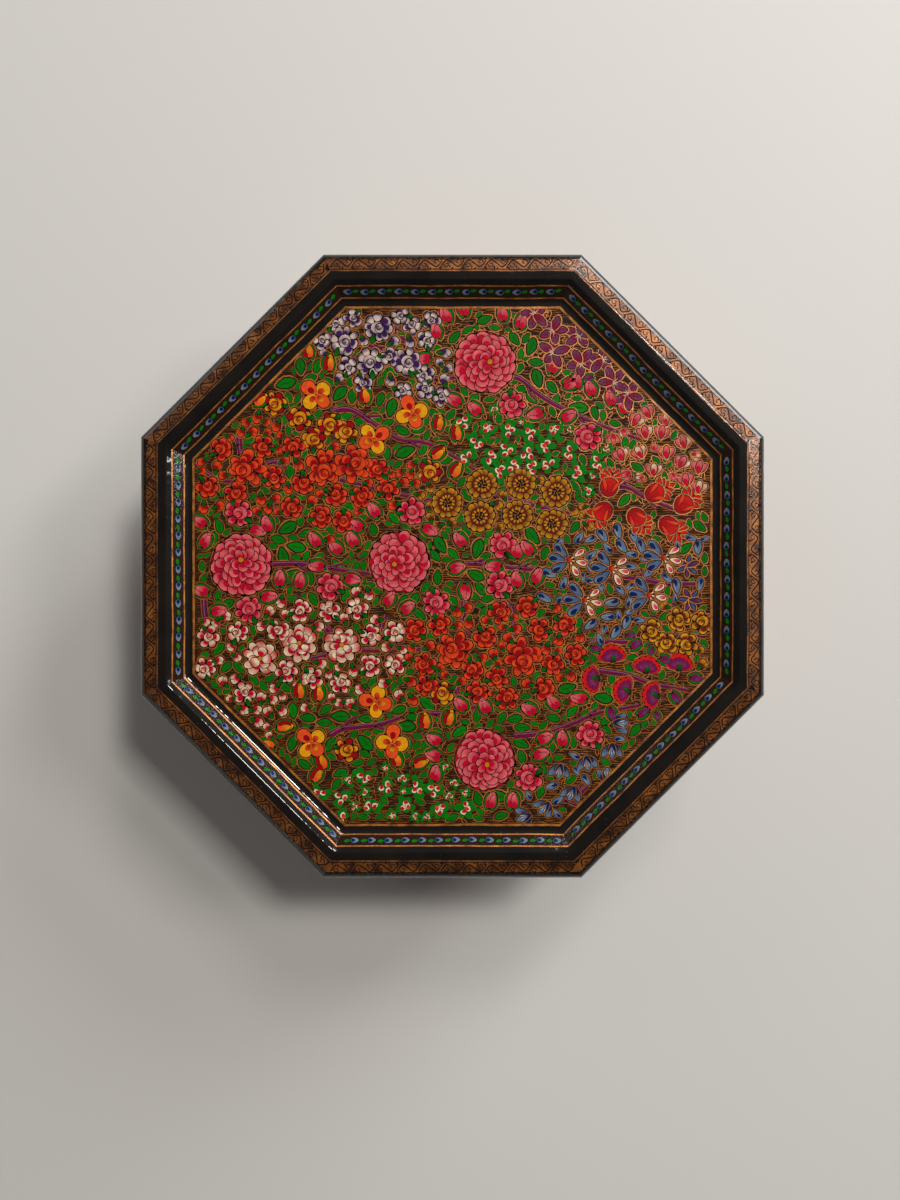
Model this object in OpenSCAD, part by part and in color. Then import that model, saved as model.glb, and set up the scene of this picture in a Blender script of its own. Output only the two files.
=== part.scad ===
// Octagonal papier mache box with a lift-off lid, built up from pulp boards
// Origin: centre of the underside, on the table. +Z up, -Y front, +X right.

/* [Overall size] */
// Width across the flats of the octagon, at the rim and at the foot
across_flats = 250; // [180:1:400]
// Height of the box from the table to the seam under the lid
box_height = 46; // [34:1:120]
// Height of the lid from the seam to the top of its rim
lid_height = 29; // [22:1:70]

/* [Boards] */
// Thickness of the box's wall boards
wall_t = 4.5; // [3:0.1:8]
// Thickness of the bottom board
bottom_t = 5; // [3:0.1:10]
// Thickness of the lid board that carries the painted panel
lid_board_t = 4; // [2.5:0.1:7]
// How far the rim and the bottom board stand proud of the walls
reveal = 0.8; // [0:0.1:2]
// Radius of the softened outer edges of the boards
edge_r = 0.8; // [0.3:0.1:1.2]

/* [Collar] */
// Thickness of the collar that the lid slips over
collar_t = 2.5; // [1.5:0.1:4]
// Height of the collar above the seam
collar_rise = 7; // [3:0.5:12]
// Depth of the collar below the seam, where it is glued to the walls
collar_depth = 12; // [6:0.5:22]
// Running gap between the collar and the lid's skirt
lid_gap = 0.5; // [0.2:0.1:1]

/* [Rim moulding] */
// Width of the rounded shoulder and the ornament band outside the rim's flat top
band_w = 7.5; // [4:0.1:10]
// Fall of the ornament band from the flat top out to the shoulder
band_fall = 1.6; // [0.6:0.1:2.5]
// Radius of the rounded outer shoulder
shoulder_r = 2; // [1:0.1:3]
// Width of the rim's flat top
rim_top_w = 3.8; // [2:0.1:8]
// Width of the inner slope from the flat top down to the panel
slope_w = 6.7; // [4:0.1:14]
// Depth of the painted panel below the top of the rim
panel_depth = 5; // [3:0.1:7]
// Height of the small step where the slope meets the panel
step_h = 0.6; // [0.3:0.1:1.5]
// Width of the rebate in which the moulding takes the lid board's edge
rebate_w = 2; // [1:0.1:2.5]
// Radius of the arris between the flat top and the inner slope
arris_r = 0.8; // [0.2:0.1:1.2]

/* [Hidden] */
SIDES = ["right", "back_right", "back", "back_left", "left", "front_left", "front", "front_right"];

side_count = len(SIDES);
side_turn = 360 / side_count;
arc_steps = 5;

// Distances from the centre to the flats
rim_out = across_flats / 2;
wall_out = rim_out - reveal;
wall_in = wall_out - wall_t;
skirt_t = wall_t - lid_gap;
skirt_in = wall_out - skirt_t;
collar_in = wall_in - collar_t;
lid_board_out = wall_out - rebate_w;
flat_out = rim_out - band_w;
flat_in = flat_out - rim_top_w;
slope_in = flat_in - slope_w;

// Edge radii, limited by the pieces that they round
collar_r = min(edge_r, collar_t / 3);
reveal_r = min(edge_r, reveal);

// Heights above the table
seam_z = box_height;
rim_z = box_height + lid_height;
panel_z = rim_z - panel_depth;
skirt_top_z = panel_z - lid_board_t;

// Points on a rounded corner at b between a and c, or b itself where r is 0
function unit(v) = v / norm(v);
function corner(a, b, c, r) =
    r == 0 ? [b] :
    let (
        u = unit(a - b),
        v = unit(c - b),
        half = acos(u * v) / 2,
        centre = b + unit(u + v) * r / sin(half),
        start = b + u * r / tan(half) - centre,
        stop = b + v * r / tan(half) - centre,
        turn = start.x * stop.y - start.y * stop.x > 0 ? 180 - 2 * half : 2 * half - 180
    )
    [for (i = [0:arc_steps])
        let (a0 = atan2(start.y, start.x), step = turn * i / arc_steps)
        centre + r * [cos(a0 + step), sin(a0 + step)]];

// Outline of a section, each of its corners given as [x, z, radius]
function section(corners) = [
    for (i = [0:len(corners) - 1])
        let (
            n = len(corners),
            p = corners[(i + n - 1) % n],
            q = corners[i],
            s = corners[(i + 1) % n]
        )
        each corner([p.x, p.y], [q.x, q.y], [s.x, s.y], q.z)
];

// A strip with this section along one side, mitred to its neighbours
module mitred_strip(corners, side) {
    reach = rim_out / cos(side_turn / 2) + 1;
    rotate([0, 0, side * side_turn])
        intersection() {
            rotate([90, 0, 0])
                linear_extrude(height = 2 * reach * tan(side_turn / 2), center = true)
                    polygon(section(corners));
            translate([0, 0, -1])
                linear_extrude(height = rim_z + 2)
                    polygon([
                        [0, 0],
                        [reach, -reach * tan(side_turn / 2)],
                        [reach, reach * tan(side_turn / 2)]
                    ]);
        }
}

// An octagonal board with its flats at this distance from the centre
module octagon_board(flat, z, t) {
    translate([0, 0, z])
        rotate([0, 0, side_turn / 2])
            cylinder(r = flat / cos(side_turn / 2), h = t, $fn = side_count);
}

module bottom_board() {
    color("#0d0a08")
        intersection_for (i = [0:side_count / 2 - 1])
            rotate([0, 0, i * side_turn])
                rotate([90, 0, 0])
                    linear_extrude(height = 2 * across_flats, center = true)
                        polygon(section([
                            [-rim_out, 0, edge_r],
                            [rim_out, 0, edge_r],
                            [rim_out, bottom_t, reveal_r],
                            [-rim_out, bottom_t, reveal_r]
                        ]));
}

module wall(side) {
    color("#17100b")
        mitred_strip([
            [wall_in, bottom_t, 0],
            [wall_out, bottom_t, 0],
            [wall_out, seam_z, edge_r],
            [wall_in, seam_z, 0]
        ], side);
}

module collar(side) {
    color("#120d0a")
        mitred_strip([
            [collar_in, seam_z - collar_depth, 0],
            [wall_in, seam_z - collar_depth, 0],
            [wall_in, seam_z + collar_rise, collar_r],
            [collar_in, seam_z + collar_rise, collar_r]
        ], side);
}

module lid_board() {
    color("#5a3a1c")
        octagon_board(lid_board_out, skirt_top_z, lid_board_t);
}

module skirt(side) {
    color("#17100b")
        mitred_strip([
            [skirt_in, seam_z, 0],
            [wall_out, seam_z, edge_r],
            [wall_out, skirt_top_z, 0],
            [skirt_in, skirt_top_z, 0]
        ], side);
}

module rim(side) {
    color("#0d0a08")
        mitred_strip([
            [rim_out, skirt_top_z, reveal_r],
            [rim_out, rim_z - band_fall, shoulder_r],
            [flat_out, rim_z, 0],
            [flat_in, rim_z, arris_r],
            [slope_in, panel_z + step_h, 0],
            [slope_in, panel_z, 0],
            [lid_board_out, panel_z, 0],
            [lid_board_out, skirt_top_z, 0]
        ], side);
}

bottom_board();
lid_board();
for (i = [0:side_count - 1]) {
    wall(i);
    collar(i);
    skirt(i);
    rim(i);
}
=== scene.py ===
# %% [markdown]
# The imported CAD model is the fixed frame of this scene: an octagonal papier mache box with a lid that
# lifts off. Everything modelled below sits on those boards and takes its sizes from them.

# %% Load the frame
import math
import random

import bmesh
import bpy
from mathutils import Matrix, Vector, noise
from mathutils.bvhtree import BVHTree


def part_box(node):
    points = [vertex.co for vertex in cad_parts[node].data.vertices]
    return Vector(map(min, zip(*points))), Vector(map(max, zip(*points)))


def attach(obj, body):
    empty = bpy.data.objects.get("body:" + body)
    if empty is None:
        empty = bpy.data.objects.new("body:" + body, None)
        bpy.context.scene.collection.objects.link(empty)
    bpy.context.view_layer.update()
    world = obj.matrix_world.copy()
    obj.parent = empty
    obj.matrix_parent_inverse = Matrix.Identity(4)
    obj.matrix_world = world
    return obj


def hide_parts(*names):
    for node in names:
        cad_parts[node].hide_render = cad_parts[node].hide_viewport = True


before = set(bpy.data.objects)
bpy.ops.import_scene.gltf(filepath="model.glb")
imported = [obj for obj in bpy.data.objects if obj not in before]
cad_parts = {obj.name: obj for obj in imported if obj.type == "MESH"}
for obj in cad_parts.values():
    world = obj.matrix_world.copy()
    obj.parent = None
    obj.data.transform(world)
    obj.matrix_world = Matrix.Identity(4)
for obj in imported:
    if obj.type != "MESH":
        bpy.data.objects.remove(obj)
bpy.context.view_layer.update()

# %% [markdown]
# A painter measures the box before starting. The distances from the centre to the flats of the octagon
# and the heights of the boards are read from the CAD nodes, and only the widths of the painted bands
# are new. All of them are in metres, with MM to write small sizes in millimetres.

# %% Measure the boards
MM = 0.001
SIDES = 8
TURN = math.tau / SIDES
SIDE_NAMES = ["right", "back_right", "back", "back_left", "left", "front_left", "front", "front_right"]
WALL_NODES = [f"wall_{side}" for side in SIDE_NAMES]
SKIRT_NODES = [f"skirt_{side}" for side in SIDE_NAMES]
RIM_NODES = [f"rim_{side}" for side in SIDE_NAMES]

rim_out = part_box("rim_right")[1].x
rim_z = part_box("rim_right")[1].z
skirt_top_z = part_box("rim_right")[0].z
slope_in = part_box("rim_right")[0].x
panel_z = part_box("lid_board")[1].z
board_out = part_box("lid_board")[1].x
wall_out, seam_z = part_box("wall_right")[1].x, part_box("wall_right")[1].z
wall_in, foot_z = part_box("wall_right")[0].x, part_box("wall_right")[0].z
skirt_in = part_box("skirt_right")[0].x

band_w = 7.5 * MM       # ornament band with its rounded shoulder
band_fall = 1.6 * MM    # how far the band falls away outwards
flat_w = 3.8 * MM       # flat black top of the rim
margin_w = 2.6 * MM     # black margin between the slope and the panel
flat_out = rim_out - band_w
flat_in = flat_out - flat_w
panel_out = slope_in - margin_w
print("panel is", round(2 * panel_out / MM, 1), "mm across its flats")

# %% [markdown]
# The photograph looks straight down from about one and a half times the width of the box. The camera
# stands a little to the front of the box's centre, so the box lies above the middle of the picture.

# %% Set up the camera
FRAME_LONG_PX = 1200
LENS_PX = 940           # focal length in pixels of the photograph
SENSOR_MM = 36
CAMERA_RISE = 373 * MM  # above the top of the rim
CAMERA_RIGHT = -1.0 * MM
CAMERA_BACK = -13.6 * MM

scene = bpy.context.scene
camera = bpy.data.objects.new("camera", bpy.data.cameras.new("camera"))
scene.collection.objects.link(camera)
camera.data.sensor_width = SENSOR_MM
camera.data.lens = SENSOR_MM * LENS_PX / FRAME_LONG_PX
camera.data.clip_start = 0.01
camera.location = (CAMERA_RIGHT, CAMERA_BACK, rim_z + CAMERA_RISE)
scene.camera = camera
print("lens", round(camera.data.lens, 1), "mm")

# %% [markdown]
# The room is plain: a pale floor, a dim even sky and six soft lamps. Black lacquer shows every lamp as
# a reflection, so the sky is kept dim and the lamps do the lighting. The window stands high on the back
# right, where the photograph has it. The low window gives the strip of light on the rim's far shoulder,
# the east and the north window light up the near slopes, and two weak lamps fill the shadows. The camera
# sees pale walls beyond the floor. Shiny things see them too, but only near the horizon, so that the
# lacquer stays black from above.

# %% Build the room
scene.view_settings.view_transform = "Standard"

world = bpy.data.worlds.new("sky")
scene.world = world
world.use_nodes = True
world_nodes = world.node_tree.nodes
world_links = world.node_tree.links
room_light = world_nodes["Background"]
room_light.inputs["Color"].default_value = (0.95, 0.97, 1.0, 1)
room_light.inputs["Strength"].default_value = 0.07
backdrop = world_nodes.new("ShaderNodeBackground")
backdrop.inputs["Color"].default_value = (0.62, 0.62, 0.6, 1)

direction = world_nodes.new("ShaderNodeTexCoord")
height = world_nodes.new("ShaderNodeSeparateXYZ")
world_links.new(direction.outputs["Generated"], height.inputs["Vector"])
low_down = world_nodes.new("ShaderNodeMapRange")  # 1 near the horizon, 0 high up
low_down.inputs["From Min"].default_value = 0.35
low_down.inputs["From Max"].default_value = 0.05
world_links.new(height.outputs["Z"], low_down.inputs["Value"])


def combine(operation, first, second):
    """A math node of the world, fed by two sockets."""
    node = world_nodes.new("ShaderNodeMath")
    node.operation = operation
    world_links.new(first, node.inputs[0])
    world_links.new(second, node.inputs[1])
    return node.outputs["Value"]


ray = world_nodes.new("ShaderNodeLightPath")
mirrored = combine("MAXIMUM", ray.outputs["Is Glossy Ray"], ray.outputs["Is Transmission Ray"])
mirrored_walls = combine("MULTIPLY", mirrored, low_down.outputs["Result"])
shown = combine("MAXIMUM", ray.outputs["Is Camera Ray"], mirrored_walls)

chooser = world_nodes.new("ShaderNodeMixShader")
world_links.new(shown, chooser.inputs["Fac"])
world_links.new(room_light.outputs["Background"], chooser.inputs[1])
world_links.new(backdrop.outputs["Background"], chooser.inputs[2])
world_links.new(chooser.outputs["Shader"], world_nodes["World Output"].inputs["Surface"])


def lamp(name, place, size, watts, colour):
    """A square area lamp that faces the box."""
    light = bpy.data.lights.new(name, "AREA")
    light.shape = "SQUARE"
    light.size = size
    light.energy = watts
    light.color = colour
    obj = bpy.data.objects.new(name, light)
    obj.location = place
    obj.rotation_euler = (Vector((0, 0, panel_z)) - obj.location).to_track_quat("-Z", "Y").to_euler()
    scene.collection.objects.link(obj)


lamp("window", (0.75, 0.78, 1.9), 0.34, 18, (1.0, 0.97, 0.92))
lamp("low_window", (1.7, 1.75, 0.9), 1.2, 54, (0.92, 0.96, 1.0))
lamp("east_window", (1.55, 0.64, 1.6), 0.45, 11, (1.0, 0.96, 0.9))
lamp("north_window", (0.64, 1.55, 1.6), 0.45, 11, (1.0, 0.96, 0.9))
lamp("front_fill", (-1.6, -1.5, 0.9), 1.4, 3, (1.0, 0.96, 0.92))
lamp("left_fill", (-1.6, 1.2, 0.9), 1.0, 5, (1.0, 0.97, 0.94))
print(len(bpy.data.lights), "lamps")

# %% Helpers for pieces


def new_piece(name, bm, body, materials=()):
    """Turns a bmesh into an object at the origin that rides on a body, or on none."""
    mesh = bpy.data.meshes.new(name)
    bm.to_mesh(mesh)
    bm.free()
    for material in materials:
        mesh.materials.append(material)
    obj = bpy.data.objects.new(name, mesh)
    scene.collection.objects.link(obj)
    if body:
        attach(obj, body)
    print(name, sum(len(face.vertices) - 2 for face in mesh.polygons), "triangles")
    return obj


def flat_distance(point):
    """Distance from the axis to the octagon's flat that passes through a point."""
    return max(point[0] * math.cos(k * TURN) + point[1] * math.sin(k * TURN) for k in range(SIDES))


# %% [markdown]
# A few short helpers keep the materials readable. Each finish below is one Principled shader with its
# constants set on its own sockets, and only what varies over the surface is linked to it.

# %% Material helpers
BLACK, WHITE = (0, 0, 0), (1, 1, 1)


def linear(colour):
    """An sRGB colour in 0 to 255 as linear light."""
    parts = [c / 255 for c in colour]
    return tuple(c / 12.92 if c <= 0.04045 else ((c + 0.055) / 1.055) ** 2.4 for c in parts)


def start_material(name, roughness, coat=0.0, coat_roughness=0.05, metallic=0.0):
    """A material with a Principled shader; returns both."""
    material = bpy.data.materials.new(name)
    material.use_nodes = True
    shader = material.node_tree.nodes["Principled BSDF"]
    shader.inputs["Roughness"].default_value = roughness
    shader.inputs["Metallic"].default_value = metallic
    shader.inputs["Coat Weight"].default_value = coat
    shader.inputs["Coat Roughness"].default_value = coat_roughness
    return material, shader


def varnished(name, coat, coat_roughness):
    """A dull colour under clear varnish, which alone gives the shine."""
    material, shader = start_material(name, 0.5, coat, coat_roughness)
    shader.inputs["Specular IOR Level"].default_value = 0.05
    return material, shader


def link(material, source, target):
    material.node_tree.links.new(source, target)


def mapped(material, stretch=(1, 1, 1), shift=(0, 0, 0)):
    """The place on the object, stretched and shifted."""
    nodes = material.node_tree.nodes
    mapping = nodes.new("ShaderNodeMapping")
    mapping.inputs["Location"].default_value = shift
    mapping.inputs["Scale"].default_value = stretch
    link(material, nodes.new("ShaderNodeTexCoord").outputs["Object"], mapping.inputs["Vector"])
    return mapping.outputs["Vector"]


def grain(material, scale, detail=3.0, stretch=(1, 1, 1)):
    """Noise in object space; scale counts features in a metre."""
    texture = material.node_tree.nodes.new("ShaderNodeTexNoise")
    texture.inputs["Scale"].default_value = scale
    texture.inputs["Detail"].default_value = detail
    link(material, mapped(material, stretch), texture.inputs["Vector"])
    return texture.outputs["Fac"]


def across(material, width):
    """Runs from 0 to 1 over this width, from left to right through the middle of the box."""
    gradient = material.node_tree.nodes.new("ShaderNodeTexGradient")
    link(material, mapped(material, (1 / width, 1, 1), (0.5, 0, 0)), gradient.inputs["Vector"])
    return gradient.outputs["Fac"]


def ramp(material, source, *stops):
    """A colour ramp through (position, colour) stops."""
    node = material.node_tree.nodes.new("ShaderNodeValToRGB")
    elements = node.color_ramp.elements
    for element, (position, colour) in zip(elements, (stops[0], stops[-1])):
        element.position = position
        element.color = (*colour[:3], 1)
    for position, colour in stops[1:-1]:
        elements.new(position).color = (*colour[:3], 1)
    link(material, source, node.inputs["Fac"])
    return node.outputs["Color"]


def mix(material, factor, first, second, blend="MIX"):
    """Mixes two colours, each a socket or a colour."""
    node = material.node_tree.nodes.new("ShaderNodeMix")
    node.data_type = "RGBA"
    node.blend_type = blend
    for value, socket in ((factor, node.inputs[0]), (first, node.inputs[6]), (second, node.inputs[7])):
        if isinstance(value, bpy.types.NodeSocket):
            link(material, value, socket)
        else:
            socket.default_value = value if isinstance(value, (int, float)) else (*value[:3], 1)
    return node.outputs[2]


def bump(material, shader, height, strength, distance):
    """Relief on the base and on the clear coat alike."""
    node = material.node_tree.nodes.new("ShaderNodeBump")
    node.inputs["Strength"].default_value = strength
    node.inputs["Distance"].default_value = distance
    link(material, height, node.inputs["Height"])
    link(material, node.outputs["Normal"], shader.inputs["Normal"])
    link(material, node.outputs["Normal"], shader.inputs["Coat Normal"])


# %% [markdown]
# The floor is plain matte paint. It only has to catch the shadow of the box.

# %% The floor
FLOOR_HALF = 2.4  # metres from the middle of the floor to its edges

floor_paint, shader = start_material("floor_paint", 0.8)
shader.inputs["Base Color"].default_value = (0.62, 0.60, 0.57, 1)
floor_bm = bmesh.new()
bmesh.ops.create_grid(floor_bm, x_segments=1, y_segments=1, size=FLOOR_HALF)
new_piece("floor", floor_bm, None, [floor_paint])

# %% [markdown]
# The box is finished in black lacquer: many thin coats brushed on and rubbed down by hand. It is not
# quite black, it has a slow waviness that breaks up the reflections, and here and there a speck of
# dust lies under the last coat. A clear coat over a dark base gives the depth.

# %% Black lacquer


def black_lacquer(name, dullness):
    """Black under a clear coat; dullness is the roughness of that coat."""
    material, shader = varnished(name, 1.0, dullness)
    tone = ramp(material, grain(material, 90, 4), (0.3, linear((12, 9, 7))), (0.75, linear((24, 18, 13))))
    specks = ramp(material, grain(material, 900, 1), (0.76, BLACK), (0.8, WHITE))
    dusty = mix(material, specks, tone, linear((60, 52, 44)))
    link(material, dusty, shader.inputs["Base Color"])
    bump(material, shader, grain(material, 130, 2), 0.35, 0.6 * MM)
    return material


lacquer = black_lacquer("black_lacquer", 0.06)
inner_lacquer = black_lacquer("inner_lacquer", 0.22)
print(lacquer.name, "and the duller", inner_lacquer.name)

# %% [markdown]
# The painting is done in body colours under varnish. Every brush stroke below carries its own colour
# in an attribute of its mesh, light at the tip of a petal and deep at its base, so one material serves
# all flowers: it takes the attribute and makes it a little uneven, as paint laid on by brush is.

# %% Body colour
PAINT = "paint"

body_colour, shader = varnished("body_colour", 0.8, 0.07)
stroke_colour = body_colour.node_tree.nodes.new("ShaderNodeAttribute")
stroke_colour.attribute_name = PAINT
uneven = ramp(body_colour, grain(body_colour, 700, 4), (0.3, (0.68, 0.64, 0.56)), (0.7, (0.98, 0.94, 0.84)))
brushed = mix(body_colour, 1.0, stroke_colour.outputs["Color"], uneven, "MULTIPLY")
link(body_colour, brushed, shader.inputs["Base Color"])
bump(body_colour, shader, grain(body_colour, 1100), 0.2, 0.3 * MM)
print(body_colour.name, "reads the attribute", stroke_colour.attribute_name)

# %% [markdown]
# Gold is laid on as thin lines and bands. It is worn: in places it is bright, in others the brown
# underneath comes through, so its colour runs between the two.

# %% Gold


def worn_gold(name, dull, middle, bright):
    """Half-metallic gold in three tones, from the brown below to the bright leaf."""
    material, shader = start_material(name, 0.4, coat=0.6, coat_roughness=0.14, metallic=0.4)
    worn = ramp(material, grain(material, 260, 5), (0.32, linear(dull)), (0.5, linear(middle)),
                (0.72, linear(bright)))
    link(material, worn, shader.inputs["Base Color"])
    bump(material, shader, grain(material, 900), 0.25, 0.3 * MM)
    return material


gold = worn_gold("worn_gold", (98, 54, 18), (160, 94, 30), (196, 124, 44))
old_gold = worn_gold("old_gold", (58, 29, 10), (114, 63, 20), (164, 98, 36))
print(gold.name, "and the darker", old_gold.name)

# %% [markdown]
# The ground between the flowers is dark brown, hatched all over from side to side with short wavy
# strokes of gold. A wave texture makes the rows and bends them, and a second noise, drawn out along the
# rows, lets each stroke fade out and start again. Painted light: the gold is darker on the left and
# brighter on the right, as if lit from the right.

# %% Hatched ground
HATCH_PITCH = 0.95 * MM
LIGHT_FALLOFF_WIDTH = 240 * MM        # from the darkest painted shade on the gold to its brightest painted light
WAVE_PERIOD = math.tau / 20  # of Blender's wave texture at scale 1


def hatched_ground(name, direction):
    """Brown with rows of gold; direction is the axis across the rows."""
    material, shader = varnished(name, 0.8, 0.07)
    rows = material.node_tree.nodes.new("ShaderNodeTexWave")
    rows.wave_type = "BANDS"
    rows.bands_direction = direction
    for socket, value in (("Scale", WAVE_PERIOD / HATCH_PITCH), ("Distortion", 4.5), ("Detail", 2),
                          ("Detail Scale", 0.9)):
        rows.inputs[socket].default_value = value
    link(material, mapped(material), rows.inputs["Vector"])
    strokes = ramp(material, rows.outputs["Fac"], (0.5, BLACK), (0.78, WHITE))
    long_way = (0.3, 1, 1) if direction == "Y" else (0.3, 0.3, 1)
    breaks = ramp(material, grain(material, 900, 2, long_way), (0.4, BLACK), (0.56, WHITE))
    cover = mix(material, 1.0, strokes, breaks, "MULTIPLY")
    brown = ramp(material, grain(material, 300), (0.3, linear((22, 10, 4))), (0.7, linear((48, 25, 10))))
    gilt = ramp(material, grain(material, 220), (0.3, linear((98, 53, 18))), (0.7, linear((174, 102, 38))))
    # painted light: the gold is dimmed towards the left and stays bright on the right, across the whole box
    painted_light_across = ramp(material, across(material, LIGHT_FALLOFF_WIDTH), (0.1, (0.34, 0.34, 0.34)), (0.85, WHITE))
    hatched = mix(material, cover, brown, mix(material, 1.0, gilt, painted_light_across, "MULTIPLY"))
    link(material, hatched, shader.inputs["Base Color"])
    bump(material, shader, grain(material, 1000), 0.2, 0.3 * MM)
    return material


panel_ground = hatched_ground("hatched_panel_ground", "Y")
side_ground = hatched_ground("hatched_side_ground", "Z")
print(panel_ground.name, "and", side_ground.name)

# %% [markdown]
# The rim, the skirt and the walls are each glued up from eight mitred boards and then covered with
# paper and lacquer until they look like one piece. So each becomes one ring here: a section is drawn
# as a face, its corners are rounded with a bevel, and the outline is spun round in eight steps, which
# gives the octagon at once. The section stands at a corner of the octagon, where it is a little
# further out than at a flat.

# %% Spin an octagonal ring
LONG_EDGE = 40 * MM  # edges along a side are longer than this, and those of a section are shorter


def octagon_ring(corners, cuts, corner_r, rounded_from):
    """corners: (distance to the flat, height, rounding). Returns a closed ring as a bmesh."""
    bm = bmesh.new()
    lean = math.tan(TURN / 2)
    verts = [bm.verts.new((d, d * lean, z)) for d, z, _ in corners]
    bm.faces.new(verts)
    for vert, (_, _, radius) in zip(verts, corners):
        if radius:
            bmesh.ops.bevel(bm, geom=[vert], affect="VERTICES", offset=radius, offset_type="OFFSET",
                            segments=5, profile=0.5, material=-1)
    bmesh.ops.delete(bm, geom=bm.faces[:], context="FACES_ONLY")
    bmesh.ops.spin(bm, geom=bm.verts[:] + bm.edges[:], axis=(0, 0, 1), cent=(0, 0, 0), dvec=(0, 0, 0),
                   angle=math.tau, steps=SIDES, use_merge=True)
    bmesh.ops.recalc_face_normals(bm, faces=bm.faces[:])
    mitres = [e for e in bm.edges
              if on_mitre(e) and min(flat_distance(v.co) for v in e.verts) > rounded_from]
    bmesh.ops.bevel(bm, geom=mitres, affect="EDGES", offset=corner_r, offset_type="OFFSET",
                    segments=4, profile=0.5, material=-1, clamp_overlap=True)
    long_edges = [e for e in bm.edges if e.calc_length() > LONG_EDGE]
    bmesh.ops.subdivide_edges(bm, edges=long_edges, cuts=cuts, use_grid_fill=True)
    return bm


def on_mitre(edge):
    """True for an edge that lies in the plane of a mitre."""
    return all(abs(math.cos(SIDES / 2 * math.atan2(v.co.y, v.co.x))) < 0.01 for v in edge.verts)


def finish_ring(name, bm, body, nodes):
    obj = new_piece(name, bm, body, [lacquer])
    obj.data.polygons.foreach_set("use_smooth", [True] * len(obj.data.polygons))
    obj.data.set_sharp_from_angle(angle=math.radians(32))
    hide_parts(*nodes)
    return obj


# %% The walls, the skirt and the rim
edge_r = 0.8 * MM
corner_r = 1.6 * MM
shoulder_r = 3.2 * MM
margin_rise = 0.08 * MM  # the margin's lacquer lies on the lid board


def side_ring(inner, low_z, high_z, low_r, high_r):
    """The ring of the walls or of the skirt, between two heights."""
    corners = [(inner, low_z, 0), (wall_out, low_z, low_r), (wall_out, high_z, high_r), (inner, high_z, 0)]
    return octagon_ring(corners, 12, corner_r, inner + 1 * MM)


wall_bm = side_ring(wall_in, foot_z, seam_z, 0, edge_r)
finish_ring("lacquered_walls", wall_bm, "box", WALL_NODES)

skirt_bm = side_ring(skirt_in, seam_z, skirt_top_z, edge_r, 0)
finish_ring("lacquered_skirt", skirt_bm, "lid", SKIRT_NODES)

rim_bm = octagon_ring([
    (rim_out, skirt_top_z, edge_r),
    (rim_out, rim_z - band_fall, shoulder_r),
    (flat_out, rim_z, 0.2 * MM),
    (flat_in, rim_z, 0.5 * MM),
    (slope_in - 0.5 * MM, panel_z + margin_rise, 1.0 * MM),
    (panel_out, panel_z + margin_rise, 0),
    (panel_out, panel_z, 0),
    (board_out, panel_z, 0),
    (board_out, skirt_top_z, 0),
], 24, corner_r, flat_out + 1 * MM)
rim = finish_ring("lacquered_rim", rim_bm, "lid", RIM_NODES)

# %% Inside and underneath
plain_boards = [obj for name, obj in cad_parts.items()
                if name.startswith("collar") or name in ("bottom_board", "lid_board")]
for obj in plain_boards:
    obj.material_slots[0].material = inner_lacquer
print(len(plain_boards), "boards in plain lacquer")

# %% [markdown]
# The painter works in thin flat strokes, one over another, and so does this script. A stroke is a disc
# pressed into the shape of a petal or a leaf: pinched at its base, pointed or round at its tip, light
# to dark along its length. Under it lie a slightly larger dark one, which draws the line round the
# petal, and at the very bottom a gold one, the outline of the whole flower. Heights count coats of
# paint, far too thin to see from the side.

# %% The brush
COAT = 0.012 * MM
GOLD = linear((156, 88, 31))
DARK = linear((30, 15, 8))
BODY, GILT, THIRD = 0, 1, 2  # places in a sheet's list of materials


def new_sheet():
    """An empty bmesh whose points carry the colour of the paint."""
    bm = bmesh.new()
    bm.verts.layers.float_color.new(PAINT)
    return bm


def polar(out, turn):
    """The point this far out in the direction of turn, which counts degrees from the right."""
    return out * math.cos(math.radians(turn)), out * math.sin(math.radians(turn))


def petal(bm, x, y, turn, long, wide, tip, base, coat=1.0, pinch=0.5, point=0.0, bend=0.0,
          line=0.18, gilt=0.0, own_line=False, heart=0.0, sides=10):
    """A petal from (x, y), turned by degrees from the right. Sizes are in millimetres."""
    layer = bm.verts.layers.float_color[PAINT]
    cos, sin = polar(1, turn)
    shapes = [(0.0, 1.0, 1.0, tip, base, coat, BODY)]
    if line:
        shapes.append((line, 1.0, 1.0, DARK, DARK, coat - 0.05, BODY))
    if gilt:
        low = coat - 0.15 if own_line else 0.0
        shapes.append((line + 0.2, 1.0, 1.0, DARK, DARK, low + 0.05, BODY))
        shapes.append((line + 0.2 + gilt, 1.0, 1.0, GOLD, GOLD, low, GILT))
    if heart:
        shapes.append((0.0, heart, 0.7, base, base, coat + 0.03, BODY))
    for grow, length, width, far, near, height, material_index in shapes:
        made = bmesh.ops.create_circle(bm, cap_ends=True, segments=sides, radius=1)["verts"]
        made[0].link_faces[0].material_index = material_index
        for vert in made:
            c, s = vert.co.x, vert.co.y
            reach = (1 + c) / 2
            across = s * wide * width / 2 * (1 - pinch * (1 - reach) ** 1.5) * (1 - point * max(0, c) ** 2)
            along = reach * long * length + grow * c
            across += grow * s + bend * long * length * reach ** 2 + (0.08 * wide if length < 1 else 0)
            vert.co = (x + along * cos - across * sin, y + along * sin + across * cos, height)
            blend = min(1.0, max(0.0, (reach - 0.3) / 0.65))
            vert[layer] = (*(near[i] + (far[i] - near[i]) * blend for i in range(3)), 1)


def streak(bm, x, y, turn, long, wide, colour, coat, sides=5, **shape):
    """A plain stroke of one colour, with no line round it."""
    petal(bm, x, y, turn, long, wide, colour, colour, coat=coat, line=0, sides=sides, **shape)


def dot(bm, x, radius, colour, coat, **shape):
    """A round spot of one colour about (x, 0)."""
    petal(bm, x - radius, 0, 0, 2 * radius, 2 * radius, colour, colour, coat=coat, pinch=0, **shape)


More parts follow.
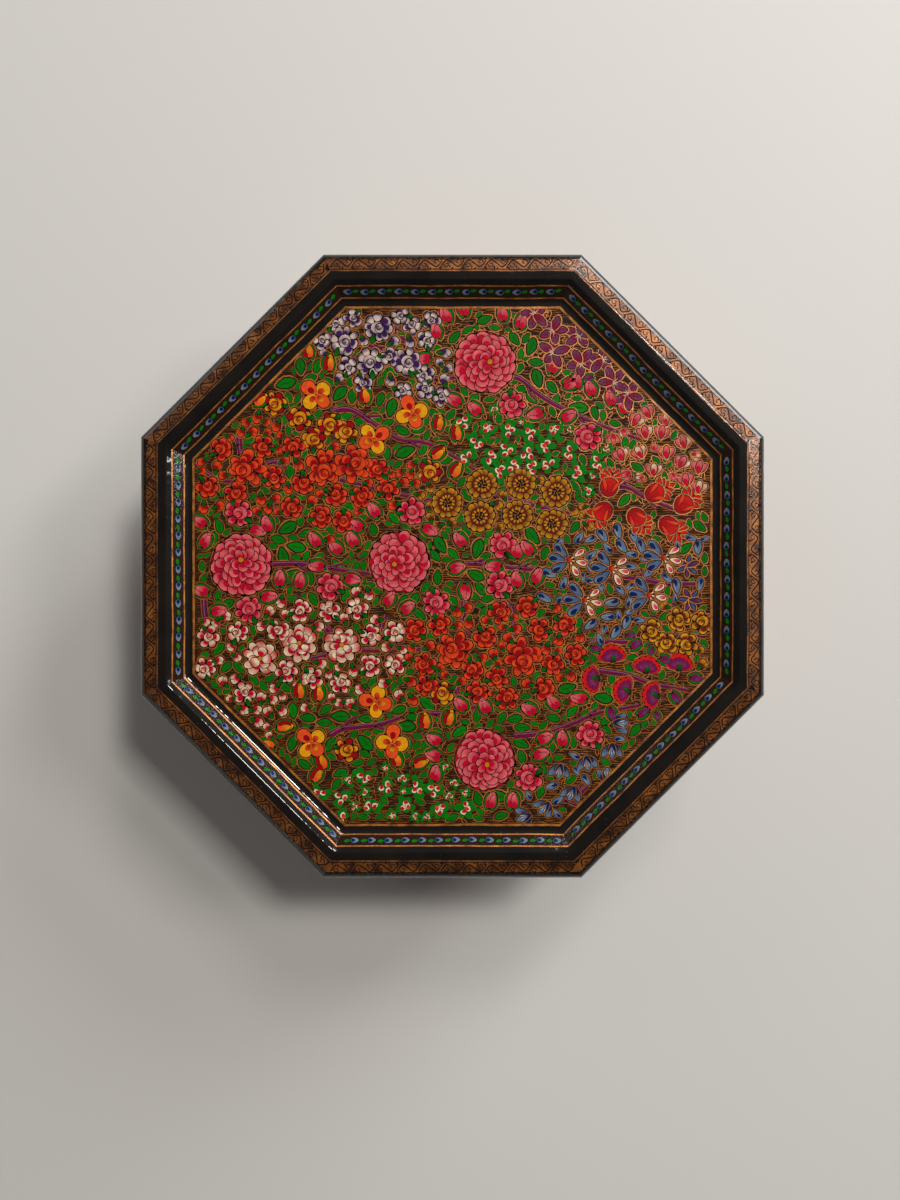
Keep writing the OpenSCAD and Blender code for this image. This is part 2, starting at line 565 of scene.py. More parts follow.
def ribbon(bm, points, width, colour, coat, taper=1.0, material_index=BODY):
    """A line drawn through points, a strip of faces laid along them."""
    layer = bm.verts.layers.float_color[PAINT]
    last = len(points) - 1
    made = bmesh.ops.create_grid(bm, x_segments=last, y_segments=1, size=1)["verts"]
    for vert in made:
        i = round((vert.co.x + 1) / 2 * last)
        ahead, behind = points[min(i + 1, last)], points[max(i - 1, 0)]
        side = Vector((behind[1] - ahead[1], ahead[0] - behind[0])).normalized()
        side *= math.copysign(width / 2 * (1 - (1 - taper) * i / last), vert.co.y)
        vert.co = (points[i][0] + side.x, points[i][1] + side.y, coat)
        vert[layer] = (*colour, 1)
        for face in vert.link_faces:
            face.material_index = material_index


def smooth_path(points, steps=6):
    """A soft curve through all the points."""
    path = []
    ends = [points[0], *points, points[-1]]
    for a, b, c, d in zip(ends, ends[1:], ends[2:], ends[3:]):
        for k in range(steps):
            t = k / steps
            path.append(tuple(b[i] + 0.5 * t * (c[i] - a[i] + t * (2 * a[i] - 5 * b[i] + 4 * c[i] - d[i]
                              + t * (3 * b[i] - a[i] - 3 * c[i] + d[i]))) for i in (0, 1)))
    path.append(points[-1])
    return path


# %% [markdown]
# These are the colours in the painter's saucers.

# %% The palette
PINK, CRIMSON, CREAM = map(linear, ((224, 108, 118), (190, 0, 46), (232, 212, 186)))
ORANGE, RED, SCARLET = map(linear, ((234, 78, 26), (154, 0, 12), (206, 24, 18)))
YELLOW, AMBER, OCHRE = map(linear, ((228, 160, 12), (228, 80, 28), (200, 122, 20)))
VIOLET, LILAC, MAUVE = map(linear, ((58, 22, 92), (212, 190, 188), (104, 56, 100)))
PURPLE, WINE, BROWN = map(linear, ((124, 6, 84), (132, 4, 56), (104, 34, 14)))
BLUE, NAVY, PALE_BLUE = map(linear, ((72, 96, 138), (10, 26, 80), (104, 126, 158)))
GREEN, DEEP_GREEN, LIME = map(linear, ((2, 114, 6), (0, 58, 0), (4, 120, 10)))
STRAW, SILVER = map(linear, ((200, 140, 18), (150, 160, 166)))
STEM, STEM_LIGHT = map(linear, ((110, 10, 66), (130, 84, 122)))

# %% [markdown]
# Each kind of flower is painted once or a few times on a scrap sheet, as a stamp, and then set down on
# the panel wherever the design wants it. The rose is the commonest: rings of petals from the outside
# in, each ring over the last and each petal over its neighbour. With many rings it is the large round
# peony, whose outer petals lie on a crimson disc. With two rings it is a small blossom.

# %% Roses
RING_COATS = 2.6                # how far each ring lies above the one outside it
RING_TILTS = (0, 1, -0.4, 0.9)  # the share of the tilt that each ring takes

chance = random.Random(8)
noise.seed_set(8)  # without a seed the noise starts from the clock, and each run wobbles in its own way


def jitter(amount):
    return chance.uniform(-amount, amount)


def shade(colour, amount=0.12):
    """The same colour, a little lighter or darker."""
    factor = 1 + jitter(amount)
    return tuple(min(1, c * factor) for c in colour)


def rosette(bm, x, y, radius, tip, base, coat):
    """The folded heart of a rose: round petals, each lying askew on the one before."""
    turn = chance.uniform(0, 360)
    for k, part in enumerate((1.0, 0.7, 0.46)):
        turn += 140 + jitter(35)
        out = radius * part
        dx, dy = polar(out, turn)
        petal(bm, x - dx, y - dy, turn, 2 * out, 1.9 * out, shade(tip), base, coat=coat + 0.3 * k,
              pinch=0.1, line=0.2, sides=12)
        x, y = x - 0.26 * dx, y - 0.26 * dy
    streak(bm, x - 0.2 * radius, y, turn, 0.4 * radius, 0.3 * radius, base, coat + 1.0, sides=6)


def rose(bm, rings, tip, base, gilt=0.42, eye=None, skew=0.0, core=0.0, other_tip=None, heart=0.62,
         tilt=0, sprig=False, mixed=0.0, disc=0.0):
    """rings: (number of petals, reach from the centre, length, width) from the outside in."""
    if disc:
        dot(bm, 0, disc, base, 0.9, gilt=gilt, sides=28)
    for k, (count, out, long, wide) in enumerate(rings):
        offset = chance.uniform(0, 360)
        for i in range(count):
            turn = offset + 360 * i / count + jitter(70 / count)
            x, y = polar(out * (1 + jitter(0.06)) - long, turn)
            light, deep = (other_tip if other_tip and i % 2 else tip), base
            if chance.random() < mixed:
                light, deep = deep, light
            lean = tilt * RING_TILTS[k] + jitter(20 if k else 8)
            petal(bm, x + skew * k, y, turn + lean, long, wide * (1 + jitter(0.2)), shade(light),
                  shade(deep), coat=1 + RING_COATS * k + 2.2 * i / count, pinch=0.15 if tilt else 0.3,
                  line=0.3 if tilt else 0.26, gilt=gilt if k == 0 else 0, heart=heart * (1 + jitter(0.25)),
                  bend=jitter(0.1))
    top = 1 + RING_COATS * len(rings)
    middle = skew * len(rings)
    if core:
        rosette(bm, middle + jitter(0.4), jitter(0.4), core, tip, base, top)
    if eye:
        dot(bm, middle, eye[1] / 2, eye[0], top)
    if sprig:
        turn = chance.uniform(0, 360)
        reach = rings[0][1]
        petal(bm, *polar(reach * 0.55, turn), turn + jitter(30), reach * 0.66, reach * 0.42, GREEN,
              DEEP_GREEN, coat=top + 1, point=0.4, gilt=0.3)


# %% Buds, pansies and daisies


def bud(bm, tip, base, sepal, other=None, long=6.6, wide=4.9):
    """A closed bud pointing up: two petals that meet over a deep one, held by two green sepals."""
    lean = jitter(0.12)
    for side in (-1, 1):
        petal(bm, 1.0 * side, -1.3, 90 - 12 * side, long * 1.06, wide * 0.66, sepal, sepal,
              coat=0.8 + 0.1 * side, point=0.8, bend=0.14 * side, gilt=0.42)
    petal(bm, 0, -0.4, 90, long, wide * 0.86, tip, base, coat=1.5, pinch=0.4, point=0.35, gilt=0.42,
          bend=lean)
    petal(bm, -wide * 0.24, -0.2, 92, long * 0.9, wide * 0.5, shade(other or tip), other or base, coat=2.1,
          pinch=0.2, point=0.5, bend=lean - 0.1, line=0.22, heart=0.55)
    petal(bm, wide * 0.16, -0.4, 89, long * 0.84, wide * 0.6, shade(tip), base, coat=2.7, pinch=0.2,
          point=0.5, bend=lean + 0.08, line=0.22, heart=0.3 if other else 0.48)


def pansy(bm):
    """Four round lobes, yellow and red in turn, each with a heart of the other colour."""
    for i, (lobe, heart) in enumerate(((YELLOW, AMBER), (AMBER, RED), (YELLOW, AMBER), (AMBER, YELLOW))):
        turn = 90 * i + jitter(14)
        petal(bm, *polar(0.2, turn), turn, 6.3 + jitter(0.5), 6.0 + jitter(0.6), lobe, shade(lobe),
              coat=1 + 0.9 * i, pinch=0.3, gilt=0.5, sides=12)
        petal(bm, *polar(0.9, turn), turn, 3.0, 2.5, heart, RED, coat=1.5 + 0.9 * i, line=0, pinch=0.2)


def daisy(bm):
    """A ruffled straw-coloured ring, a maroon one, a small straw one, and a dark netted eye."""
    rose(bm, [(13, 6.1, 3.2, 3.0)], STRAW, BROWN, gilt=0.36, heart=0.35)
    dot(bm, 0, 3.7, BROWN, 3.8, sides=16)
    first = chance.uniform(0, 30)
    for i in range(12):
        turn = first + 30 * i + jitter(5)
        petal(bm, *polar(1.5, turn), turn, 1.8, 1.1, STRAW, OCHRE, coat=4.4 + 0.02 * i, line=0.1, sides=6)
    dot(bm, 0, 2.0, DARK, 5.2, line=0, sides=14)
    for i in range(9):
        turn = 80 * i
        petal(bm, *polar(0.2 + 1.3 * (i % 3) / 2, turn), turn + 70, 1.3, 0.32, STRAW, OCHRE,
              coat=5.6 + 0.02 * i, line=0, sides=5)


# %% Crowns, lilies, carnations and bells


def crown(bm):
    """A round red body that opens into pointed lobes."""
    outline = {"gilt": 0.45, "line": 0.1, "own_line": True}
    for turn in (-58, -38, -18, 0, 18, 38, 58):
        petal(bm, 1.2, 0, turn, 7.2 + jitter(0.8) - abs(turn) / 40, 2.5, SCARLET, SCARLET,
              coat=1 + abs(turn) / 60, point=0.9, **outline)
    petal(bm, -4.0, 0, 0, 7.6, 7.4, SCARLET, RED, coat=2.6, pinch=0.15, sides=14, **outline)
    petal(bm, -2.4, 0.9, 14, 5.4, 1.7, ORANGE, SCARLET, coat=3.2, line=0.22, bend=0.14)
    petal(bm, -2.4, -1.6, -14, 5.2, 1.6, ORANGE, SCARLET, coat=3.6, line=0.22, bend=-0.12)


def lily(bm):
    """Three blue petals to the left and three small white and pink ones to the right."""
    for i, (turn, shift) in enumerate(((128, 0.4), (172, -0.3), (214, 0.4))):
        x, y = -1.3 + shift, 1.4 - 1.4 * i
        turn += jitter(8)
        cos, sin = polar(1, turn)
        petal(bm, x, y, turn, 6.8 + jitter(0.5), 4.0, PALE_BLUE, BLUE, coat=1 + i, pinch=0.6,
              gilt=0.4, line=0.2, own_line=True)
        streak(bm, x + 3.0 * cos - 0.3 * sin, y + 3.0 * sin + 0.3 * cos, turn + 3, 3.4, 2.2, NAVY, 1.4 + i,
               sides=10)
        streak(bm, x + 1.0 * cos + 0.9 * sin, y + 1.0 * sin - 0.9 * cos, turn - 4, 4.6, 0.32, DARK, 1.7 + i)
    for i, turn in enumerate((34, -14, -62)):
        cos, sin = polar(1, turn)
        ribbon(bm, [(0, 0), (1.6 * cos, 1.6 * sin), (3.4 * cos, 3.4 * sin + 0.3)], 0.45, CREAM, 0.9)
        petal(bm, 2.6 * cos, 2.6 * sin, turn, 4.6, 2.7, CREAM, CREAM, coat=1.2 + 0.5 * i, gilt=0.4,
              line=0.2, own_line=True)
        petal(bm, 4.0 * cos, 4.0 * sin, turn + 6, 2.8, 1.8, CRIMSON, PINK, coat=1.5 + 0.5 * i, line=0)
    petal(bm, -1.0, 0, 0, 2.0, 2.0, AMBER, RED, coat=4.6, pinch=0)


def blue_bud(bm):
    """A blue oval with a navy end and a pale streak."""
    petal(bm, -3, 0, 0, 6.2, 3.5, BLUE, PALE_BLUE, gilt=0.42, pinch=0.4, line=0.22, bend=jitter(0.1))
    streak(bm, -0.2, 0.1, 4, 2.9, 2.2, NAVY, 1.4, sides=8, pinch=0.6)
    streak(bm, -2.0, 0.5, 6, 3.6, 0.4, SILVER, 1.6)


def star(bm):
    """A small flower of narrow grey-blue petals."""
    for i in range(6):
        petal(bm, 0, 0, 60 * i + jitter(12), 4.6, 1.7, MAUVE if i % 2 else BLUE, VIOLET, coat=1 + 0.4 * i,
              point=0.6, gilt=0.42, own_line=True)


def carnation(bm):
    """A fan seen from the side: a scarlet edge, a purple body with pale streaks, a green foot."""
    fan = (-66, -44, -22, 0, 22, 44, 66)
    for i, turn in enumerate(fan):
        petal(bm, 0, -1.6, 90 + turn, 7.0 - abs(turn) / 80, 3.4, SCARLET, SCARLET, coat=1 + 0.1 * i,
              line=0, gilt=0.5, pinch=0.6)
    for i, turn in enumerate(fan):
        petal(bm, 0, -1.6, 90 + turn * 0.95, 5.0, 2.6, PURPLE, PURPLE, coat=2 + 0.1 * i, line=0.12,
              pinch=0.6)
    for i in range(12):
        turn = 90 + (i - 5.5) * 11
        x, y = polar(1.4, turn)
        petal(bm, x, y - 1.6, turn, 3.0 + jitter(0.6), 0.26, MAUVE, STEM_LIGHT, coat=3.4, line=0, sides=4)
    petal(bm, -0.3, -2.4, 70, 3.6, 1.9, GREEN, DEEP_GREEN, coat=4, point=0.7, gilt=0.4)


def bell(bm):
    """A bluebell: a cup of three petals with curled tips."""
    for i, turn in enumerate((52, 128, 90)):
        petal(bm, 0, -2.6, turn, 6.6 - 0.4 * i, 3.3, PALE_BLUE, NAVY, coat=1 + i, point=0.4, gilt=0.3,
              own_line=True, heart=0.6)
    for turn in (70, 90, 110):
        petal(bm, 0.2, -1.6, turn, 3.6, 0.5, CREAM, BLUE, coat=4, line=0, sides=5)


def mauve_lily(bm):
    """Five pointed mauve petals with crimson throats and cream threads."""
    for i in range(5):
        turn = 72 * i + jitter(12)
        light, deep = (MAUVE, WINE) if chance.random() < 0.7 else (WINE, MAUVE)
        petal(bm, 0, 0, turn, 6.0 + jitter(0.7), 3.5, shade(light), shade(deep), coat=1 + 0.7 * i,
              point=0.5, gilt=0.42, own_line=True, heart=0.5)
        streak(bm, *polar(1.4, turn), turn + 6, 3.4, 0.26, DARK, 1.4 + 0.7 * i)
    for i in range(4):
        streak(bm, 0, 0, 30 + 34 * i, 2.6, 0.3, CREAM, 5, sides=4)


# %% Small blossoms, berries, sprigs and leaves


def blossom(bm):
    """Three pink petals side by side over a small green foot."""
    petal(bm, 0, -0.6, 250, 2.4, 1.5, GREEN, DEEP_GREEN, coat=0.8, point=0.6, gilt=0.3)
    for i, turn in enumerate((124, 56, 90)):
        light = CREAM if chance.random() < 0.25 else PINK
        petal(bm, 0, -1.6, turn, 5.0, 2.9, shade(light), CRIMSON, coat=1.2 + 0.8 * i, point=0.2, gilt=0.34,
              own_line=True, heart=0.6)


def berry(bm):
    """A tuft of bright green with three red and white berries."""
    for i in range(6):
        petal(bm, jitter(0.5), jitter(0.5), 60 * i + jitter(26), 4.3 + jitter(1.1), 3.1, LIME, GREEN,
              coat=0.6 + 0.05 * i, line=0, pinch=0.3)
    for i in range(3):
        turn = 90 + 120 * i + jitter(40)
        x, y = polar(1.5 + jitter(0.5), turn)
        turn = chance.uniform(0, 360)
        cos, sin = polar(1, turn)
        petal(bm, x - 1.2 * cos, y - 1.2 * sin, turn, 2.5, 2.3, CREAM, CREAM, coat=2 + 0.5 * i,
              pinch=0.3, line=0.16)
        petal(bm, x - 0.6 * cos, y - 0.6 * sin, turn + 20, 2.0, 1.9, AMBER if i == 2 else CRIMSON, CRIMSON,
              coat=2.2 + 0.5 * i, line=0, sides=7)


def small_bud(bm, tip, base):
    """A round bud with a deep heart, and a leaf laid over its foot."""
    petal(bm, -0.2, -1.3, 86, 3.3, 3.1, tip, base, coat=1.2, gilt=0.4, line=0.2, pinch=0.2, heart=0.5)
    petal(bm, 0.2, -1.3, 62, 2.8, 1.6, shade(tip), base, coat=1.9, line=0.16, pinch=0.3, heart=0.5, sides=8)
    petal(bm, 0.1, -0.5, 262 + jitter(30), 2.5, 1.7, GREEN, DEEP_GREEN, coat=2.7, point=0.4, gilt=0.36,
          line=0.14, sides=8)


def leaf(bm, long=5.6, wide=3.7):
    """A pointed green leaf with a midrib, outlined in gold."""
    bend = jitter(0.12)
    green = shade(GREEN, 0.3)
    petal(bm, -long / 2, 0, 0, long, wide, green, green, coat=1, pinch=0.6, point=0.5, bend=bend, gilt=0.42,
          line=0.2, sides=12)
    streak(bm, -long * 0.42, 0, 0, long * 0.8, 0.24, DEEP_GREEN, 1.5, bend=bend * 0.8)


def twig(bm):
    """A thin gold curl with a few gold leaflets."""
    arc = smooth_path([(-4, -1), (-1.5, 0.6 + jitter(0.8)), (1.5, 0.4), (4, -1.2 + jitter(1))], 4)
    ribbon(bm, arc, 0.42, GOLD, 0, 0.6, GILT)
    for i, (x, y) in enumerate(arc[2:-1:3]):
        petal(bm, x, y, 40 if i % 2 else -50, 2.2, 0.8, BROWN, DARK, coat=0.5, point=0.6, line=0, gilt=0.32,
              sides=8)


# %% [markdown]
# The stamps are made now, a few of each kind so that no two neighbours are quite the same. Each kind
# notes its radius in millimetres, which is the room it takes on the panel, and the sheet of paint that
# it belongs to.

# %% Cut the stamps
STAMPS = {}


def face_up(bm):
    bm.normal_update()
    bmesh.ops.reverse_faces(bm, faces=[f for f in bm.faces if f.normal.z < 0])


def cut_stamp(kind, sheet, radius, copies, draw, *args, **options):
    """Draws a motif a few times and keeps it under the name of its kind."""
    meshes = []
    for _ in range(copies):
        bm = new_sheet()
        draw(bm, *args, **options)
        face_up(bm)
        mesh = bpy.data.meshes.new(kind)
        bm.to_mesh(mesh)
        bm.free()
        meshes.append(mesh)
    STAMPS[kind] = (sheet, radius, meshes)


PEONY = [(17, 12.2, 4.8, 5.2), (13, 10.1, 5.6, 4.7), (10, 7.4, 5.2, 4.2), (6, 4.5, 4.0, 3.6)]
SMALL_ROSE = [(8, 5.5, 3.2, 3.3)]
BIG_ROSE = [(7, 7.8, 5.4, 4.4), (5, 5.4, 3.6, 4.0)]
BIG_BLOSSOM = [(9, 7.4, 5.6, 4.2), (6, 4.8, 3.8, 3.5)]
MIDDLE_ROSE = [(6, 4.5, 3.0, 3.2)]
MIXED = 0.45  # share of petals with their two colours swapped

cut_stamp("peony", "peonies", 12.9, 4, rose, PEONY, PINK, CRIMSON, eye=(OCHRE, 2.1), skew=0.5, heart=0.66,
          tilt=24, disc=11.9)
cut_stamp("pink_rose", "pink_roses", 5.4, 5, rose, SMALL_ROSE, PINK, CRIMSON, core=2.9, sprig=True)
cut_stamp("pink_bud", "pink_roses", 2.9, 8, bud, PINK, CRIMSON, GREEN)
cut_stamp("yellow_bud", "yellow_flowers", 2.9, 4, bud, YELLOW, AMBER, GREEN, RED)
cut_stamp("yellow_rose", "yellow_flowers", 4.7, 4, rose, [(7, 4.8, 2.8, 2.9)], YELLOW, RED, core=2.8,
          other_tip=RED, sprig=True)
cut_stamp("golden_rose", "yellow_flowers", 4.4, 4, rose, MIDDLE_ROSE, YELLOW, BROWN, core=2.4)
cut_stamp("pansy", "yellow_flowers", 5.2, 3, pansy)
cut_stamp("daisy", "daisies", 6.0, 4, daisy)
cut_stamp("yellow_tiny", "daisies", 2.1, 4, small_bud, STRAW, BROWN)
cut_stamp("orange_big", "orange_roses", 7.4, 4, rose, BIG_ROSE, ORANGE, RED, core=3.2, heart=0.66, skew=-0.8)
cut_stamp("orange_mid", "orange_roses", 4.3, 8, rose, MIDDLE_ROSE, ORANGE, RED, core=2.2, heart=0.66,
          sprig=True)
cut_stamp("orange_tiny", "orange_roses", 2.1, 8, small_bud, ORANGE, RED)
cut_stamp("white_big", "white_blossoms", 7.3, 4, rose, BIG_BLOSSOM, CREAM, CRIMSON, eye=(OCHRE, 1.8),
          mixed=MIXED)
cut_stamp("white_mid", "white_blossoms", 4.2, 8, rose, MIDDLE_ROSE, CREAM, CRIMSON, core=2.0, sprig=True,
          mixed=MIXED)
cut_stamp("white_tiny", "white_blossoms", 2.1, 8, small_bud, CREAM, CRIMSON)
cut_stamp("violet_big", "violet_roses", 5.7, 4, rose, [(8, 5.8, 3.4, 3.5)], LILAC, VIOLET, core=2.7,
          sprig=True, mixed=MIXED)
cut_stamp("violet_mid", "violet_roses", 3.6, 6, rose, [(5, 3.9, 2.6, 3.0)], LILAC, VIOLET, core=1.6,
          sprig=True, mixed=MIXED)
cut_stamp("violet_tiny", "violet_roses", 2.1, 4, small_bud, LILAC, VIOLET)
cut_stamp("crown", "red_flowers", 6.0, 4, crown)
cut_stamp("carnation", "red_flowers", 5.4, 3, carnation)
cut_stamp("lily", "blue_flowers", 6.0, 3, lily)
cut_stamp("star", "blue_flowers", 4.4, 2, star)
cut_stamp("blue_bud", "blue_flowers", 2.7, 4, blue_bud)
cut_stamp("bell", "blue_flowers", 3.7, 3, bell)
cut_stamp("mauve_lily", "mauve_lilies", 5.4, 5, mauve_lily)
cut_stamp("mauve_bud", "mauve_lilies", 2.5, 3, bud, MAUVE, PURPLE, GREEN, None, 5.2, 3.4)
cut_stamp("blossom", "pink_blossoms", 3.4, 4, blossom)
cut_stamp("berry", "berries", 3.9, 6, berry)
cut_stamp("leaf", "leaves", 2.2, 8, leaf)
cut_stamp("twig", "leaves", 2.5, 6, twig)
print(len(STAMPS), "kinds of motif")

# %% [markdown]
# A field is a patch to be painted: the lid's panel, or one side of the box. It remembers which strokes
# were set down and how much room is left round any point, so that the gaps can be filled the way a
# painter does it, with the largest thing that still fits.

# %% A field to paint
LEAF_GAP = 0.12   # left free round a leaf
LEAF_ROOM = 1.85  # radius of the room that a leaf of full size takes


def anywhere(span):
    """A random point within half a length and half a width."""
    return chance.uniform(-span[0], span[0]), chance.uniform(-span[1], span[1])


class Field:
    """A patch in millimetres. edge(x, y) is the distance to the patch's border."""
    CELL = 8  # side of the squares in which the claims are filed

    def __init__(self, edge):
        self.edge = edge
        self.cells = {}
        self.marks = []

    def cells_round(self, x, y, reach):
        columns, rows = (range(math.floor((v - reach) / self.CELL), math.floor((v + reach) / self.CELL) + 1)
                         for v in (x, y))
        return [(i, j) for i in columns for j in rows]

    def claim(self, x, y, radius):
        for cell in self.cells_round(x, y, radius):
            self.cells.setdefault(cell, []).append((x, y, radius))

    def room(self, x, y, most):
        """Free radius round a point, no more than most."""
        free = min(most, self.edge(x, y))
        for cell in self.cells_round(x, y, most):
            for cx, cy, radius in self.cells.get(cell, ()):
                free = min(free, math.hypot(x - cx, y - cy) - radius)
        return free

    def put(self, kind, x, y, turn=0.0, size=1.0):
        self.marks.append((kind, x, y, turn, size, 0))
        self.claim(x, y, STAMPS[kind][1] * size)

    def fill_small(self, tries, span, wanted, sizes):
        """Sets small flowers in the gaps; wanted(x, y) names the kind, or nothing."""
        for _ in range(tries):
            x, y = anywhere(span)
            kind = wanted(x, y)
            if not kind:
                continue
            full = STAMPS[kind][1]
            radius = full * sizes.get(kind, 1)
            free = self.room(x, y, radius * 1.1)
            if free > radius * 0.78:
                self.put(kind, x, y, chance.uniform(0, 360), free / full)

    def fill_leaves(self, span, *rounds):
        """Sets leaves in what is left, each turned the way that has most room.

        rounds: (tries, least room, most room), the largest leaves first."""
        for tries, smallest, largest in rounds:
            for _ in range(tries):
                x, y = anywhere(span)
                free = self.room(x, y, largest)
                if free >= smallest:
                    self.put_leaf(x, y, free - LEAF_GAP)

    def put_leaf(self, x, y, free):
        best = (-1, 0)
        first = chance.uniform(0, 45)
        for k in range(4):
            turn = first + 45 * k
            dx, dy = polar(free * 1.3, turn)
            ends = min(self.room(x + dx, y + dy, free), self.room(x - dx, y - dy, free))
            best = max(best, (ends, turn))
        ends, turn = best
        if ends < free * 0.25:
            return
        turn += chance.choice((0, 180))
        size = free / LEAF_ROOM * chance.uniform(0.94, 1.05)
        self.marks.append(("leaf", x, y, turn, size, 0))
        dx, dy = polar(free, turn)
        self.claim(x, y, free)
        for side in (-1, 1):
            self.claim(x + side * dx, y + side * dy, free * 0.7)


# %% Lay the strokes on a sheet
LEVELS = {"twig": 0.5, "leaf": 2.5, "peony": 9.0}  # coats below each kind of mark
STEM_LEVEL, FLOWER_LEVEL = 5.0, 7.5                # and below the stems and all other flowers


def lay_marks(marks, sheets, place):
    """Copies each mark's stamp onto its sheet; place turns millimetres into the box's frame."""
    for n, (kind, x, y, turn, size, level) in enumerate(marks):
        sheet, _, meshes = STAMPS[kind]
        if sheet not in sheets:
            sheets[sheet] = new_sheet()
        copy = chance.choice(meshes).copy()
        lift = (LEVELS.get(kind, FLOWER_LEVEL) + level + 0.04 * (n % 7)) * COAT
        copy.transform(place @ Matrix.Translation((x * MM, y * MM, lift))
                       @ Matrix.Rotation(math.radians(turn), 4, "Z")
                       @ Matrix.Diagonal((size * MM, size * MM, COAT, 1)))
        sheets[sheet].from_mesh(copy)
        bpy.data.meshes.remove(copy)


def to_metres(bm, place=Matrix.Identity(4)):
    """Turns a sheet drawn in millimetres and coats into metres, and sets it in place."""
    bmesh.ops.transform(bm, matrix=place @ Matrix.Diagonal((MM, MM, COAT, 1)), verts=bm.verts[:])


def add_bake_map(bm, place_uv):
    """A flat map of the painting, with the lowest coats first."""
    bm.faces.sort(key=lambda f: f.calc_center_median().z)
    uv = bm.loops.layers.uv.new("OFBake")
    for face in bm.faces:
        for loop in face.loops:
            loop[uv].uv = place_uv(loop.vert.co)


# %% [markdown]
# Now the design of the panel, in millimetres from its centre. The four peonies come first, then the
# roses, lilies, daisies and carnations in their own quarters, as in the old many-flower pattern where
# every kind grows in a drift of its own. A third number turns a flower or a bud.

